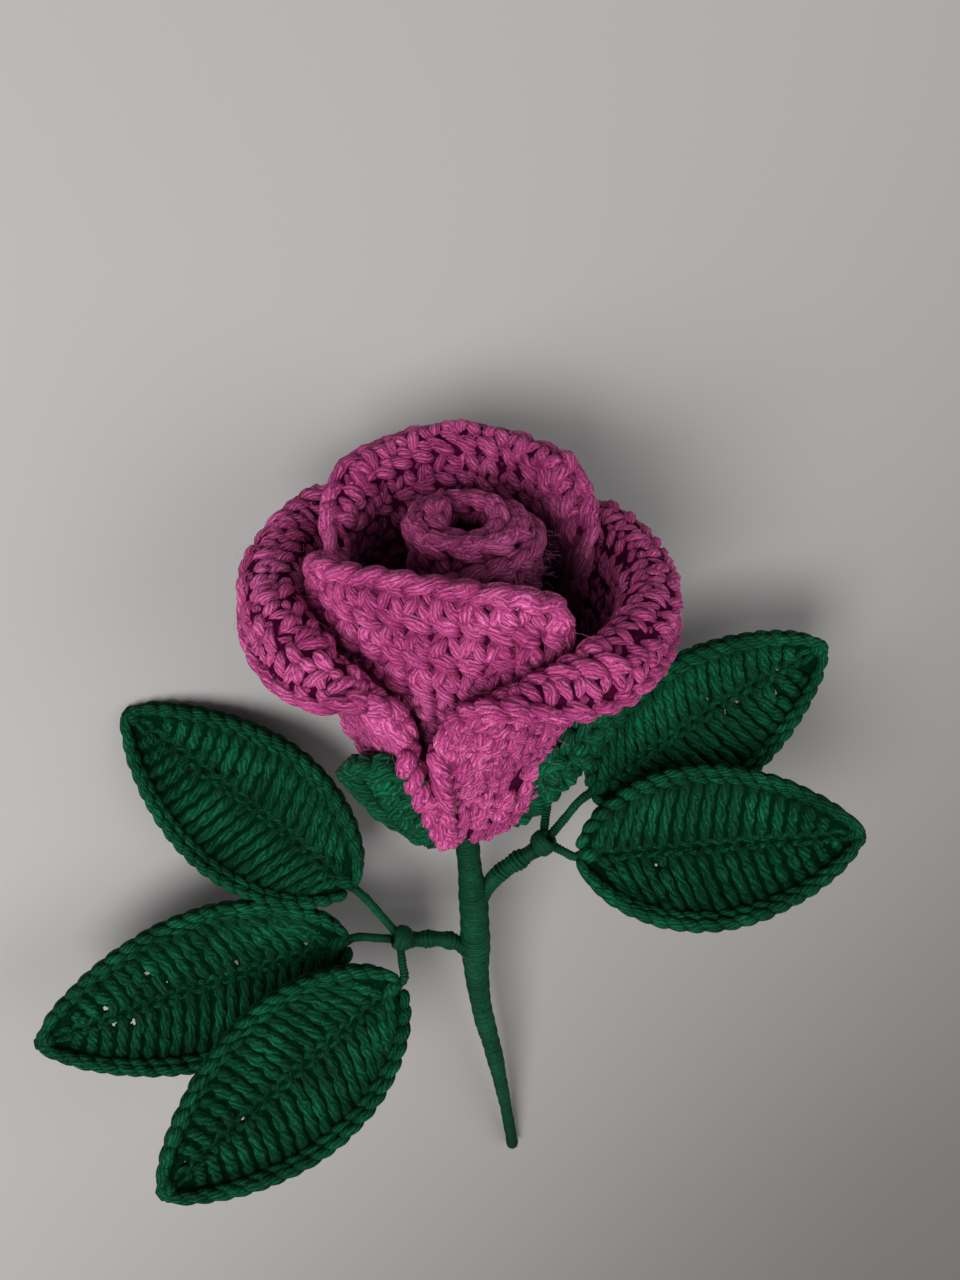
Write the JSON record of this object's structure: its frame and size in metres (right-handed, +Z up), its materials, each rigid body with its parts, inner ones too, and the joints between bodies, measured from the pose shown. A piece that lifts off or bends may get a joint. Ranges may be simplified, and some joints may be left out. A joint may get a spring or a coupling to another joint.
{
  "type": "crocheted rose",
  "caption": "Crocheted yarn rose with rolled magenta petals, a green calyx, six ribbed leaves and a wire stem wound with green yarn, lying on its back.",
  "frame": {"origin": "centre of the bounding box on the table that the rose lies on", "axes": "+Y from the cut end of the stem towards the bloom, +X to the side of the shorter-stalked right branch, +Z up from the table"},
  "size_m": [0.1804, 0.2108, 0.079],
  "materials": {
    "petal_yarn": "soft plied yarn",
    "calyx_yarn": "soft plied yarn",
    "leaf_yarn": "soft plied yarn",
    "stem_yarn": "smooth wound yarn",
    "wire": "drawn wire"
  },
  "bodies": {
    "root": {"bud_petal": "petal_yarn", "bud_wrap_petal": "petal_yarn", "inner_petal_front": "petal_yarn", "inner_petal_back": "petal_yarn", "outer_petal_left": "petal_yarn", "outer_petal_right": "petal_yarn", "outer_petal_back": "petal_yarn", "calyx": "calyx_yarn", "leaf_left_upper": "leaf_yarn", "leaf_left_middle": "leaf_yarn", "leaf_left_lower": "leaf_yarn", "leaf_right_upper": "leaf_yarn", "leaf_right_lower": "leaf_yarn", "leaf_right_back": "leaf_yarn", "stem_wrap": "stem_yarn", "left_branch_wrap": "stem_yarn", "left_binding": "stem_yarn", "right_branch_wrap": "stem_yarn", "right_binding": "stem_yarn", "stalk_left_upper": "stem_yarn", "stalk_left_middle": "stem_yarn", "stalk_left_lower": "stem_yarn", "stalk_right_upper": "stem_yarn", "stalk_right_lower": "stem_yarn", "stalk_right_back": "stem_yarn", "stem_wire": "wire", "left_branch_wire": "wire", "right_branch_wire": "wire", "stalk_wire_left_upper": "wire", "stalk_wire_left_middle": "wire", "stalk_wire_left_lower": "wire", "stalk_wire_right_upper": "wire", "stalk_wire_right_lower": "wire", "stalk_wire_right_back": "wire"}
  },
  "joints": []
}
